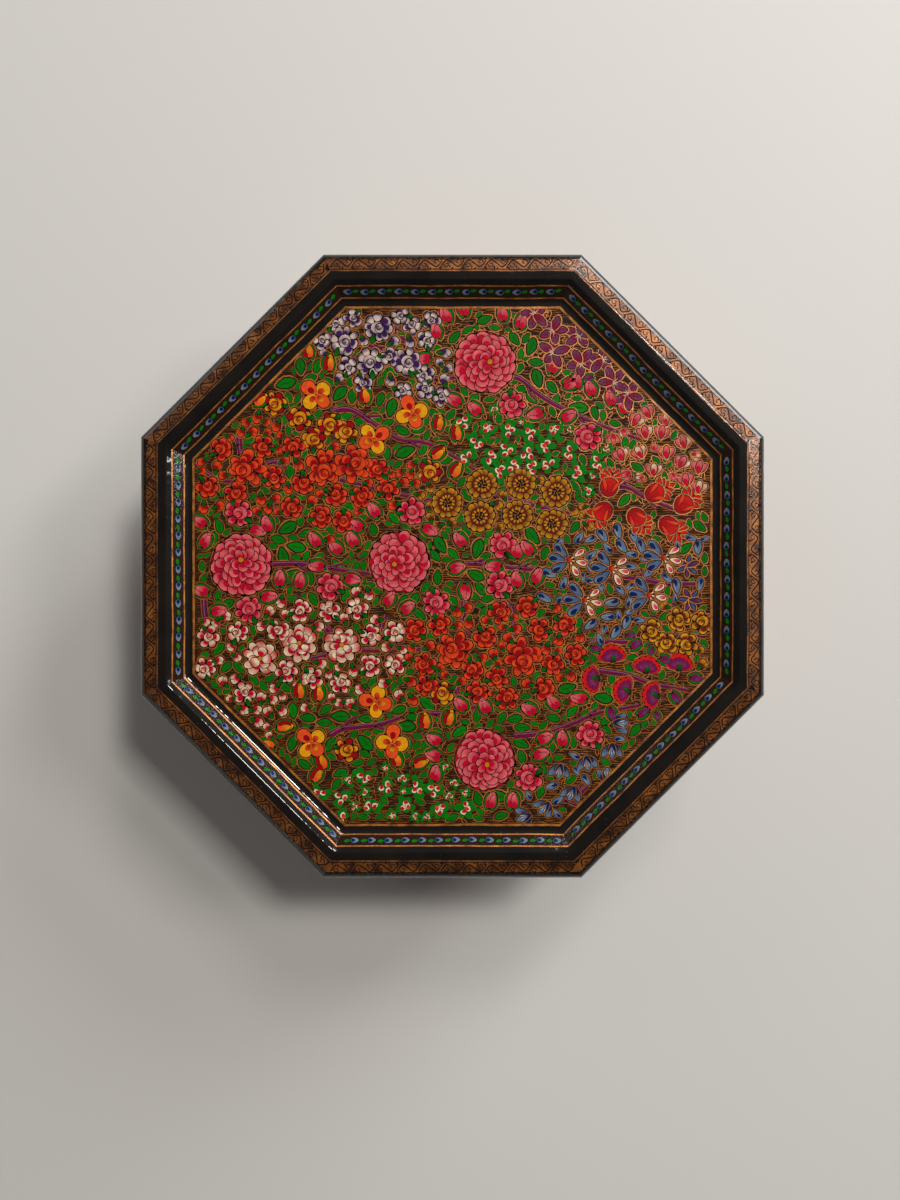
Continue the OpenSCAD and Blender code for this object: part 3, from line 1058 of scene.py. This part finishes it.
# %% The flowers of the panel
DESIGN = {
    "peony": [(13, 82, 0), (-85, 0.5, 90), (-21.5, 1.5, 200), (13, -78, 300)],
    "pink_rose": [
        (24, 65, 0), (-86, 21.5, 40), (-16.5, 22, 90), (-49.5, -8, 120), (-82, -17.5, 200),
        (-6.5, -14.5, 250), (54.5, 52, 300), (19, -7.5, 20), (20.5, 8.5, 60), (55.5, -68, 90),
        (30.5, -85, 150)],
    "pink_bud": [
        (-1.5, 98.5, 110), (5, 101, 100), (-6, 92, 100), (-9, 84, 190), (20.5, 99, 95), (27, 96, 75),
        (40, 78, 75), (50, 72, 95), (56.5, 69, 105), (64.5, 65, 100), (44.5, 59, 30), (36, 62, 200),
        (11, 61.5, 135), (3, 65.5, 150), (45, 73, 10), (69.5, 61.5, 95), (-99.5, 16.5, 150),
        (-100.5, 8, 60), (-74, 14.5, 100), (-54, 8.5, 125), (-45, 5.5, 130), (-39, 8.5, 120),
        (-36.5, 15.5, 160), (-30, 20.5, 130), (-27, -15.5, 50), (-20, -18.5, 40), (-69.5, -7.5, 90),
        (-61.5, -8.5, 85), (-98.5, -10.5, 165), (-96.5, -18.5, 10), (-76.5, -12.5, 0), (-43, -5, 350),
        (-0.5, -1.5, 20), (-52, 0, 175), (4.5, 8.5, 120), (32, 5.5, 140), (26, 3.5, 90), (5, -7.5, 270),
        (26, -8, 90), (33, -6.5, 60), (19, 0, 180), (-11.5, 15.5, 340), (-5, -71, 150), (-5, -76.5, 170),
        (-7, -86, 80), (5, -57.5, 130), (14.5, -58.5, 125), (33, -59, 140), (42.5, -56.5, 140),
        (53.5, -53.5, 165), (35, -70.5, 30), (44.5, -72, 100), (33, -76.5, 20), (15, -97, 80),
        (24.5, -97, 95), (-81, 15, 350)],
    "yellow_bud": [
        (-57.5, 84, 105), (-49.5, 79, 95), (-35, 66, 95), (-6, 55, 85), (2, 51, 95), (-61.5, -52.5, 95),
        (-54, -53.5, 85), (-51.5, -81, 120), (-56, -86, 60), (-11, -65, 95), (-2, -63.5, 80),
        (-15, -80, 30), (-22, -80, 100), (-70, -64.5, 10), (-72, -72.5, 160), (-8, 44, 30), (0, 36.5, 60),
        (-79.5, 65.5, 30)],
    "pansy": [
        (-55, 69, 40), (-16.5, 62, 15), (-31.5, 51.5, 300), (-57, -71, 45), (-31, -54.5, 80),
        (-24, -70.5, 350)],
    "yellow_rose": [
        (-71.5, 65.5, 0), (-61.5, 59.5, 40), (-49.5, 57, 80), (-56, 51, 120), (-43, 54, 160),
        (-42.5, -74, 200), (-4, -51, 240), (-9, 38, 280)],
    "violet_big": [(-30, 96, 0), (-43.5, 90.5, 50), (-18, 82, 100), (-33, 82, 150)],
    "violet_mid": [
        (-16.5, 97), (-52.5, 91), (-40, 100), (-21, 101), (-42, 80.5), (-25.5, 84), (-4.5, 68), (-11, 71),
        (-20, 70), (-11, 77), (-10.5, 91), (-8.5, 98.5), (-36, 73.5), (-47, 98)],
    "orange_big": [(-82.5, 39, 10), (-51.5, 39.5, 80), (-40, 41, 200), (1, -33.5, 20), (28.5, -36.5, 110)],
    "orange_mid": [
        (-93, 47), (-76, 48), (-64, 48), (-98.5, 32), (-71.5, 35.5), (-60, 33.5), (-47, 28.5), (-36.5, 28),
        (-26, 31), (-87, 29.5), (-30, 39), (-64.5, 23.5), (-53, 20), (-44, 18), (-15, -25.5), (-5, -23.5),
        (8, -41.5), (19, -18.5), (18, -45), (30, -16.5), (49.5, -35.5), (45, -23.5), (40.5, -39.5),
        (13, -28.5), (35, -25.5), (-11, -39.5), (36.5, -49.5), (22, -53), (10, -50.5), (-10, -48)],
    "white_big": [(-44.5, -31.5, 30), (-77.5, -37, 90), (-61.5, -31, 0)],
    "white_mid": [
        (-86.5, -26.5), (-70, -26), (-98, -28.5), (-61, -18), (-49.5, -18), (-38.5, -17), (-33, -28),
        (-33, -40), (-99.5, -41), (-67, -42), (-23, -39.5), (-83.5, -51), (-45, -47), (-23, -26.5),
        (-56.5, -45)],
    "daisy": [(-2, 25.5), (12, 33), (27.5, 33), (11, 20), (26, 20.5), (42, 30), (40, 17)],
    "crown": [
        (63, 32, 75), (60.5, 22, 230), (81.5, 29.5, 25), (93, 25, 40), (74, 19.5, 310), (87, 16.5, 320)],
    "lily": [(47, 2.5, 0), (64, -1, 0), (85, 3.5, 0), (53, -13.5, 0), (79, -11.5, 0)],
    "star": [(94.5, 0, 90), (95.5, -13.5, 60)],
    "blue_bud": [
        (60.5, 12.5, 120), (66.5, 14, 110), (73, 12, 110), (68, 8, 130), (76, 8, 100), (39, -3, 160),
        (37, -12.5, 150), (64, -14.5, 10), (62.5, -20.5, 0), (55.5, -23.5, 40), (70, -22.5, 70),
        (65.5, -26.5, 60), (90, -8, 100), (98.5, 7.5, 90)],
    "golden_rose": [(80, -26), (91, -21.5), (86, -31), (94, -31.5), (100.5, -22.5)],
    "carnation": [
        (64, -36.5, 5), (57, -45.5, 95), (69.5, -50, 70), (78, -41, 350), (81, -52, 80), (91, -40, 355)],
    "mauve_bud": [
        (72, -32.5, 30), (84, -37, 330), (96, -45, 0), (88.5, -51.5, 310), (63.5, -57.5, 290),
        (75, -60, 30)],
    "bell": [
        (43, -82, 170), (54, -79, 190), (48, -91, 160), (37, -97, 140), (29, -101, 110), (64, -74, 180),
        (67.5, -63, 270), (62, -84, 0)],
    "mauve_lily": [
        (40.5, 95, 140), (51.5, 82, 200), (64.5, 74, 260), (40.5, 86, 80), (33, 101, 30), (51, 93, 150),
        (60, 83, 300), (71, 69, 60)],
    "blossom": [
        (77.5, 53, 10), (84, 53, 350), (78.5, 61, 30), (73.5, 58, 330), (86, 45, 0), (92, 41, 330),
        (93, 49, 10), (81, 38, 0), (99, 39, 350), (94, 34, 10), (86, 58, 0), (75.5, 45, 30), (99, 31, 350),
        (68, 44, 20)],
    "berry": [
        (4, 57.5), (14.5, 55.5), (22.5, 54.5), (31, 53), (9.5, 50), (30, 45.5), (22, 47), (6, 44),
        (15, 43.5), (24, 40.5), (37.5, 48), (41, 55), (39, 41), (47, 46), (58, 42), (32, 40), (50, 38),
        (19, 38), (-53.5, -92), (-44.5, -93), (-36, -84.5), (-27, -88.5), (-32.5, -96.5), (-14, -89),
        (-19, -96.5), (-5, -97.5), (5, -97), (-45, -101), (-8, -90)],
}
STEMS = [
    [(-104, 42), (-95, 35), (-85, 34)], [(-77, 40), (-67, 42), (-49, 36)],
    [(-45, 35), (-37, 33), (-17, 28), (-5, 26)],
    [(-49, 62), (-41, 63), (-31, 57), (-21, 51), (-9, 49), (9, 39)],
    [(-45, 89), (-33, 89), (-23, 81), (-9, 73), (1, 69)],
    [(7, 75), (25, 76), (35, 69), (47, 62), (59, 57), (75, 51)], [(11, 27), (19, 28), (39, 23), (59, 19)],
    [(-73, 1), (-61, 1), (-49, -1), (-33, -3)], [(1, 1), (11, 1), (27, -1), (37, -1)],
    [(55, -30), (75, -30), (81, -28), (100, -28)],
    [(-67, -38), (-57, -37), (-41, -34), (-21, -34), (-5, -32)],
    [(-49, -68), (-43, -65), (-31, -64), (-21, -61)], [(-11, -59), (-1, -59), (11, -56)],
    [(25, -68), (37, -67), (49, -63), (59, -59), (75, -56)], [(-85, 45), (-85, 53), (-79, 60)],
    [(-54, -22), (-49, -26), (-45, -30)], [(-27, -20), (-28, -26), (-21, -32)],
    [(5, -13), (4, -22), (7, -28)], [(19, -13), (24, -17), (25, -26), (31, -30)],
    [(3, -46), (2, -50), (4, -54)], [(59, 29), (69, 32), (79, 27), (95, 21)],
    [(63, -3), (75, -5), (87, -7), (102, -7)], [(59, -42), (71, -44), (79, -47), (95, -50)],
    [(-25, 101), (-23, 93), (-17, 89)], [(-100, -13), (-99, -22), (-95, -26)],
    [(-13, 75), (1, 76), (11, 78)], [(-75, 27), (-73, 23), (-69, 20)], [(43, -94), (49, -93), (55, -88)],
]
print(sum(map(len, DESIGN.values())), "flowers and buds set by hand,", len(STEMS), "stems")

# %% [markdown]
# Round these go the small things. Which ones depends on the drift: each drift is named with a few
# points of its own, and a gap belongs to the nearest of them.

# %% The drifts
DRIFTS = {
    "violet_tiny": [(-31, 93), (-41, 87), (-17, 89), (-9, 73)],
    "orange_tiny": [(-89, 47), (-65, 43), (-41, 39), (-61, 27), (-81, 29), (-27, 31), (-47, 21), (-95, 35),
                    (-1, -30), (19, -30), (39, -30), (11, -42), (35, -46), (-9, -42), (47, -46), (-85, 57)],
    "white_tiny": [(-93, -26), (-77, -38), (-57, -30), (-41, -30), (-29, -34), (-89, -50), (-65, -52),
                   (-41, -50), (-33, -19), (-61, -20), (-78, -62), (-28, -46), (-80, -28)],
    "blossom": [(75, 59), (83, 47), (95, 39), (75, 43)],
    "berry": [(11, 55), (27, 51), (43, 47), (55, 39), (11, 43), (-45, -94), (-25, -90), (-5, -94)],
    "blue_bud": [(47, 0), (63, 3), (83, 3), (59, -17), (95, -5), (59, -74), (37, -96)],
    "mauve_bud": [(39, 97), (53, 83), (67, 71), (67, -42), (83, -46), (75, -56)],
    "yellow_tiny": [(-2, 26), (19, 27), (42, 25), (95, -26)],
    None: [(-65, 71), (-49, 61), (-33, 59), (-17, 59), (-5, 51), (-95, 11), (-65, 9), (-41, 3), (-61, -7),
           (-29, 15), (-95, -9), (-9, 3), (-21, -13), (13, 82), (3, 67), (27, 67), (19, 95), (37, 67),
           (55, 63), (7, 3), (27, 3), (19, -7), (35, 3), (-61, -66), (-41, -68), (-25, -66), (-9, -66),
           (-69, -74), (-17, -78), (7, -58), (31, -58), (51, -62), (39, -72), (15, -96), (65, 28), (86, 24),
           (-52, -82)],
}
SMALL_SIZES = {"berry": 0.6, "blossom": 0.7, "blue_bud": 0.75, "mauve_bud": 0.8}
DRIFT_POINTS = [(x, y, kind) for kind, points in DRIFTS.items() for x, y in points]
print(len(DRIFT_POINTS), "points name the drifts")


def drift_kind(x, y):
    return min(DRIFT_POINTS, key=lambda p: (x - p[0]) ** 2 + (y - p[1]) ** 2)[2]


# %% Compose the panel
PANEL_MM = panel_out / MM - 1.6
PANEL_SPAN = (PANEL_MM, PANEL_MM)
STEM_ROOM = 1.0
TWIG_TRIES = 700

panel_field = Field(lambda x, y: PANEL_MM - flat_distance((x, y)))
for kind, places in DESIGN.items():
    for x, y, *turn in places:
        angle = turn[0] if turn else chance.uniform(0, 360)
        if "bud" in kind and kind != "blue_bud":
            angle -= 90
        panel_field.put(kind, x, y, angle)
panel_field.fill_small(5200, PANEL_SPAN, drift_kind, SMALL_SIZES)
print(len(panel_field.marks), "flowers and buds")
for stem_points in STEMS:
    for x, y in smooth_path(stem_points, 3):
        panel_field.claim(x, y, STEM_ROOM)
panel_field.fill_leaves(PANEL_SPAN, (1500, 2.0, 2.6), (6000, 1.45, 2.0), (12000, 1.0, 1.45))
for _ in range(TWIG_TRIES):
    x, y = anywhere(PANEL_SPAN)
    if panel_field.edge(x, y) > 3 and x > chance.uniform(-160, 60):
        panel_field.marks.append(("twig", x, y, chance.uniform(0, 360), 1, 0))
print(len(panel_field.marks), "marks on the panel")

# %% Paint the panel
GROUND_RISE = 0.03 * MM
panel_place = Matrix.Translation((0, 0, panel_z + GROUND_RISE))
panel_sheets = {}
lay_marks(panel_field.marks, panel_sheets, panel_place)

stem_sheet = new_sheet()


def stem(path, width):
    """A tapering purple stroke with a dark edge, a gold outline and a pale line along one side."""
    for wider, colour, coat, material_index in ((1.1, GOLD, 0, GILT), (0.45, DARK, 0.4, BODY),
                                                (0, STEM, 0.8, BODY)):
        ribbon(stem_sheet, path, width + wider, colour, coat, 0.55, material_index)
    one_side = [(x - 0.1 * width, y + 0.27 * width) for x, y in path]
    ribbon(stem_sheet, one_side, width * 0.22, STEM_LIGHT, 1.2, 0.4)


for points in STEMS:
    path = smooth_path(points)
    for part in (0.35, 0.7):
        i = round(part * (len(path) - 1))
        (x, y), (ahead_x, ahead_y) = path[i - 1], path[i]
        turn = math.atan2(ahead_y - y, ahead_x - x) + chance.choice((-0.6, 0.6))
        reach = chance.uniform(4, 8)
        branch = [(x, y), (x + 0.5 * reach * math.cos(turn), y + 0.5 * reach * math.sin(turn)),
                  (x + reach * math.cos(turn * 0.8), y + reach * math.sin(turn * 0.8))]
        stem(smooth_path(branch, 4), 1.0)
    stem(path, 1.9)
face_up(stem_sheet)
to_metres(stem_sheet, panel_place @ Matrix.Translation((0, 0, STEM_LEVEL * COAT)))
panel_sheets["stems"] = stem_sheet


def hand_wobble(bm, amount, scale=60):
    """Moves the paint a little sideways, as a hand does."""
    for vert in bm.verts:
        shift = noise.noise_vector(vert.co * scale) * amount
        shift += noise.noise_vector(vert.co * scale * 4) * amount * 0.8
        vert.co += Vector((shift.x, shift.y, 0))


def trim_to_octagon(bm, distance):
    """Cuts away what lies beyond the flats of an octagon."""
    for k in range(SIDES):
        outward = Vector((math.cos(k * TURN), math.sin(k * TURN), 0))
        bmesh.ops.bisect_plane(bm, geom=bm.verts[:] + bm.edges[:] + bm.faces[:], plane_co=outward * distance,
                               plane_no=outward, clear_outer=True)


def panel_uv(point):
    return (0.5 + point.x / (2 * panel_out), 0.5 + point.y / (2 * panel_out))


for sheet_name, sheet in panel_sheets.items():
    hand_wobble(sheet, 0.25 * MM)
    trim_to_octagon(sheet, panel_out - 1.0 * MM)
    add_bake_map(sheet, panel_uv)
    new_piece(f"painted_{sheet_name}", sheet, "lid", [body_colour, gold])

# %% The hatched ground of the panel


def octagon_face(bm, flat):
    """A face with eight corners, given by the distance of its flats; returns its points."""
    return bmesh.ops.create_circle(bm, cap_ends=True, segments=SIDES, radius=flat / math.cos(TURN / 2),
                                   matrix=Matrix.Rotation(TURN / 2, 4, "Z"))["verts"]


ground_bm = bmesh.new()
octagon_face(ground_bm, panel_out)
face_up(ground_bm)
bmesh.ops.translate(ground_bm, vec=(0, 0, panel_z + 0.001 * MM), verts=ground_bm.verts[:])
made = bmesh.ops.extrude_face_region(ground_bm, geom=ground_bm.faces[:])["geom"]
raised = [part for part in made if isinstance(part, bmesh.types.BMVert)]
bmesh.ops.translate(ground_bm, vec=(0, 0, GROUND_RISE * 0.9), verts=raised)
bmesh.ops.recalc_face_normals(ground_bm, faces=ground_bm.faces[:])
add_bake_map(ground_bm, panel_uv)
new_piece("panel_ground", ground_bm, "lid", [panel_ground])

# %% [markdown]
# The paint on the rim follows a moulded surface. It is laid out flat, seen from above, and then let
# down onto the rim like a cloth: from each of its points a ray is cast down, and the point stops a few
# coats above the place where the ray meets the lacquer.

# %% Let paint down onto the rim
rim_surface = BVHTree.FromPolygons([v.co for v in rim.data.vertices],
                                   [p.vertices for p in rim.data.polygons])


def let_down(bm):
    """Keeps each point's height in coats and adds the height of the rim below it."""
    for vert in bm.verts:
        above = Vector((vert.co.x, vert.co.y, rim_z + 1 * MM))
        hit = rim_surface.ray_cast(above, Vector((0, 0, -1)))[0]
        vert.co.z += hit.z if hit else panel_z


def octagon_band(bm, outer, inner, colour, coat, material_index):
    """A flat band between two octagons, given by the distances of their flats in millimetres."""
    layer = bm.verts.layers.float_color[PAINT]
    old = len(bm.verts)
    middle = octagon_face(bm, outer)[0].link_faces[0]
    ring = bmesh.ops.inset_region(bm, faces=[middle], thickness=outer - inner, use_boundary=True,
                                  use_even_offset=True)["faces"]
    bmesh.ops.delete(bm, geom=[middle], context="FACES")
    edges = list({e for f in ring for e in f.edges if e.calc_length() > 20})
    bmesh.ops.subdivide_edges(bm, edges=edges, cuts=16, use_grid_fill=True)
    bm.verts.ensure_lookup_table()
    for vert in bm.verts[old:]:
        vert[layer] = (*colour, 1)
        vert.co.z = coat
        for face in vert.link_faces:
            face.material_index = material_index


# %% The arabesque band and the gold lines
BAND_OUT, BAND_IN, BAND_STRIPS = 122.5, 117.9, 6
strip_w = (BAND_OUT - BAND_IN) / BAND_STRIPS
panel_edge = panel_out / MM
bands = new_sheet()
for strip in range(BAND_STRIPS):
    octagon_band(bands, BAND_OUT - strip * strip_w, BAND_OUT - (strip + 1) * strip_w, GOLD, 1, THIRD)
for outer, inner, colour, coat, material_index in (
        (117.5, 116.9, GOLD, 1, THIRD),                         # inside the arabesque
        (111.8, 111.35, GOLD, 3, GILT),                         # above the drops
        (107.8, 107.35, GOLD, 3, GILT),                         # below the drops
        (111.5, 107.6, linear((40, 20, 10)), 1, BODY),          # the ground of the drops
        (panel_edge + 0.05, panel_edge - 0.8, GOLD, 8, GILT)):  # round the panel
    octagon_band(bands, outer, inner, colour, coat, material_index)


def scroll(bm):
    """One length of dark arabesque: a waving stem with two curls and a few leaves."""
    ribbon(bm, smooth_path([(-4.6, -1.2), (-2.3, 1.4), (0, 0), (2.3, -1.4), (4.6, 1.2)], 5), 0.5, DARK, 0)
    for sign in (-1, 1):
        curl = []
        for k in range(12):
            turn, out = k * 0.52, 1.5 - 0.11 * k
            curl.append((sign * (2.3 + out * math.cos(turn) * 0.8),
                         sign * (0.6 + out * math.sin(turn)) * 0.9))
        ribbon(bm, curl, 0.42, DARK, 0.3, 0.6)
    for x, y, turn in ((-3.6, -1.6, 200), (-1, 1.7, 20), (0.4, -1.5, 250), (1.4, 1.6, 60), (3.7, -1.2, 300),
                       (-4.2, 1.3, 130), (3.6, 1.7, 10), (-1.2, -0.8, 280)):
        streak(bm, x, y, turn + jitter(25), 1.5 + jitter(0.4), 0.8, DARK, 0.5, sides=6, point=0.5)


def drop(bm):
    """A pale blue drop with a navy heart, and the green leaf that follows it."""
    petal(bm, -3.1, 0, 0, 3.3, 2.1, linear((74, 104, 148)), linear((112, 126, 142)), pinch=0.4, line=0.3)
    streak(bm, -1.7, 0, 0, 1.7, 1.4, NAVY, 1.6, sides=10, pinch=0.4)
    petal(bm, 0.4, 0.1 + jitter(0.2), 8, 2.6, 1.4, LIME, GREEN, point=0.6, line=0.3)


cut_stamp("scroll", "rim_scrolls", 4.5, 4, scroll)
cut_stamp("drop", "rim_drops", 3.4, 4, drop)
DROPS_FLAT = 109.55  # distance of the row of drops from the centre
RIM_LEVEL = -5.5     # brings the strokes down close to the bands
rim_sheets = {"rim_bands": bands}
for k in range(SIDES):
    side_turn = Matrix.Rotation(k * TURN, 4, "Z")
    for kind, count, distance in (("scroll", 11, (BAND_OUT + BAND_IN) / 2), ("drop", 13, DROPS_FLAT)):
        length = 2 * distance * math.tan(TURN / 2) - 3
        marks = [(kind, distance + jitter(0.12), (i + 0.5 - count / 2) * length / count, -90, 1, RIM_LEVEL)
                 for i in range(count)]
        lay_marks(marks, rim_sheets, side_turn)
to_metres(bands)


def rim_uv(point):
    return (0.5 + point.x / (2 * rim_out), 0.5 + point.y / (2 * rim_out))


for sheet_name, sheet in rim_sheets.items():
    face_up(sheet)
    hand_wobble(sheet, 0.2 * MM)
    add_bake_map(sheet, rim_uv)
    let_down(sheet)
    new_piece(sheet_name, sheet, "lid", [body_colour, gold, old_gold])

# %% [markdown]
# The photo doesn't show the sides. They are painted here the way such boxes usually are: the same
# flowers in a gold frame on every wall, and a garland round the skirt of the lid. Two patterns take
# turns. Each is painted lying flat and is then stood up against four of the eight boards.

# %% Compose the sides
WALL_LONG, WALL_HIGH, WALL_MIDDLE = 47.5, 16.5, 25.5
SKIRT_LONG, SKIRT_HIGH, SKIRT_MIDDLE = 47.5, 6.6, 56.4
FRAME_ROOM = 1.4  # kept free inside the gold frame


def compose_side(half_long, half_high, design, drifts):
    """drifts names the small flowers from left to right."""
    field = Field(lambda x, y: min(half_long - FRAME_ROOM - abs(x), half_high - FRAME_ROOM - abs(y)))
    for mark in design:
        field.put(*mark)
    step = 2 * half_long / len(drifts)
    span = (half_long, half_high)
    for kinds in zip(*drifts):
        field.fill_small(700, span, lambda x, y: kinds[min(int((x + half_long) / step), len(kinds) - 1)], {})
    field.fill_leaves(span, (500, 1.5, 2.3), (1500, 0.95, 1.5))
    return field.marks


wall_marks = [
    compose_side(WALL_LONG, WALL_HIGH, [
        ("peony", 0, 0.5, 40, 0.92), ("pink_bud", -17, 7, -20, 1), ("pink_bud", 17, 7, 20, 1),
        ("pink_bud", -17, -8, -150, 1), ("pink_bud", 17, -8, 150, 1), ("orange_big", -34, 0, 0, 1),
        ("white_big", 34, 0, 90, 1), ("pansy", -20.5, 0, 10, 0.7), ("pansy", 20.5, 0, 50, 0.7)],
        [("orange_mid", "orange_tiny"), ("orange_mid", "orange_tiny"), ("pink_bud", "yellow_bud"),
         ("white_mid", "white_tiny"), ("white_mid", "white_tiny")]),
    compose_side(WALL_LONG, WALL_HIGH, [
        ("lily", -3, 5.5, 0, 0.9), ("lily", 4, -6, 180, 0.9), ("daisy", -23, 0, 0, 1),
        ("pink_rose", 24, 0, 0, 1), ("violet_big", -37, 4, 0, 1), ("carnation", 38, 1, 0, 1)],
        [("violet_mid", "violet_tiny"), ("golden_rose", "yellow_bud"), ("blue_bud", "blue_bud"),
         ("pink_bud", "blossom"), ("mauve_bud", "mauve_bud")]),
]
SKIRT_PITCH = 11.2
skirt_marks = []
for kinds in (("pink_rose", "yellow_rose", "white_mid"), ("orange_mid", "violet_mid", "pink_rose")):
    row = [(kinds[i % 3], SKIRT_PITCH * (i - 3.5), 1.1 * (-1) ** i, chance.uniform(0, 360), 0.82)
           for i in range(8)]
    buds = [("pink_bud", SKIRT_PITCH * (i - 3), -1.6 * (-1) ** i, 90 + jitter(40), 0.6) for i in range(7)]
    skirt_marks.append(compose_side(SKIRT_LONG, SKIRT_HIGH, row + buds, [("white_tiny", "orange_tiny")]))
print(len(wall_marks[0]), len(wall_marks[1]), "marks on the walls,", len(skirt_marks[0]), "on the skirt")

# %% Paint the sides
MAP_WIDTH = 110 * MM  # of the flat map of one side


def frame_lines(bm, half_long, half_high):
    """A hatched ground inside two gold lines."""
    layer = bm.verts.layers.float_color[PAINT]
    for out, width in ((0.0, 1.0), (1.6, 0.35)):
        x, y = half_long + out, half_high + out
        for ends in ([(-x, -y), (x, -y)], [(x, -y), (x, y)], [(x, y), (-x, y)], [(-x, y), (-x, -y)]):
            ribbon(bm, smooth_path(ends, 12), width, GOLD, 2.0, material_index=GILT)
    plate = bmesh.ops.create_grid(bm, x_segments=1, y_segments=1, size=1)["verts"]
    for vert in plate:
        vert.co = (vert.co.x * half_long, vert.co.y * half_high, 0)
        vert[layer] = (*BROWN, 1)
    plate[0].link_faces[0].material_index = THIRD


def stand_up(name, body, marks_of, half_long, half_high, middle):
    """Paints two patterns lying flat and stands them in turn against the eight boards."""
    upright = Matrix(((0, 0, 1, wall_out + GROUND_RISE), (1, 0, 0, 0), (0, 1, 0, middle * MM), (0, 0, 0, 1)))
    piece = new_sheet()
    piece.loops.layers.uv.new("OFBake")
    for n, marks in enumerate(marks_of):
        flat = new_sheet()
        frame_lines(flat, half_long, half_high)
        to_metres(flat)
        lay_marks(marks, {sheet: flat for sheet, _, _ in STAMPS.values()}, Matrix.Identity(4))
        face_up(flat)
        hand_wobble(flat, 0.2 * MM)
        high = (half_high + 2) * MM
        add_bake_map(flat, lambda p: (0.5 + p.x / MAP_WIDTH, 0.25 + 0.5 * n + 0.22 * p.y / high))
        mesh = bpy.data.meshes.new(name)
        flat.to_mesh(mesh)
        flat.free()
        for k in range(n, SIDES, 2):
            copy = mesh.copy()
            copy.transform(Matrix.Rotation(k * TURN, 4, "Z") @ upright)
            piece.from_mesh(copy)
            bpy.data.meshes.remove(copy)
    new_piece(name, piece, body, [body_colour, gold, side_ground])


stand_up("painted_walls", "box", wall_marks, WALL_LONG, WALL_HIGH, WALL_MIDDLE)
stand_up("painted_skirt", "lid", skirt_marks, SKIRT_LONG, SKIRT_HIGH, SKIRT_MIDDLE)
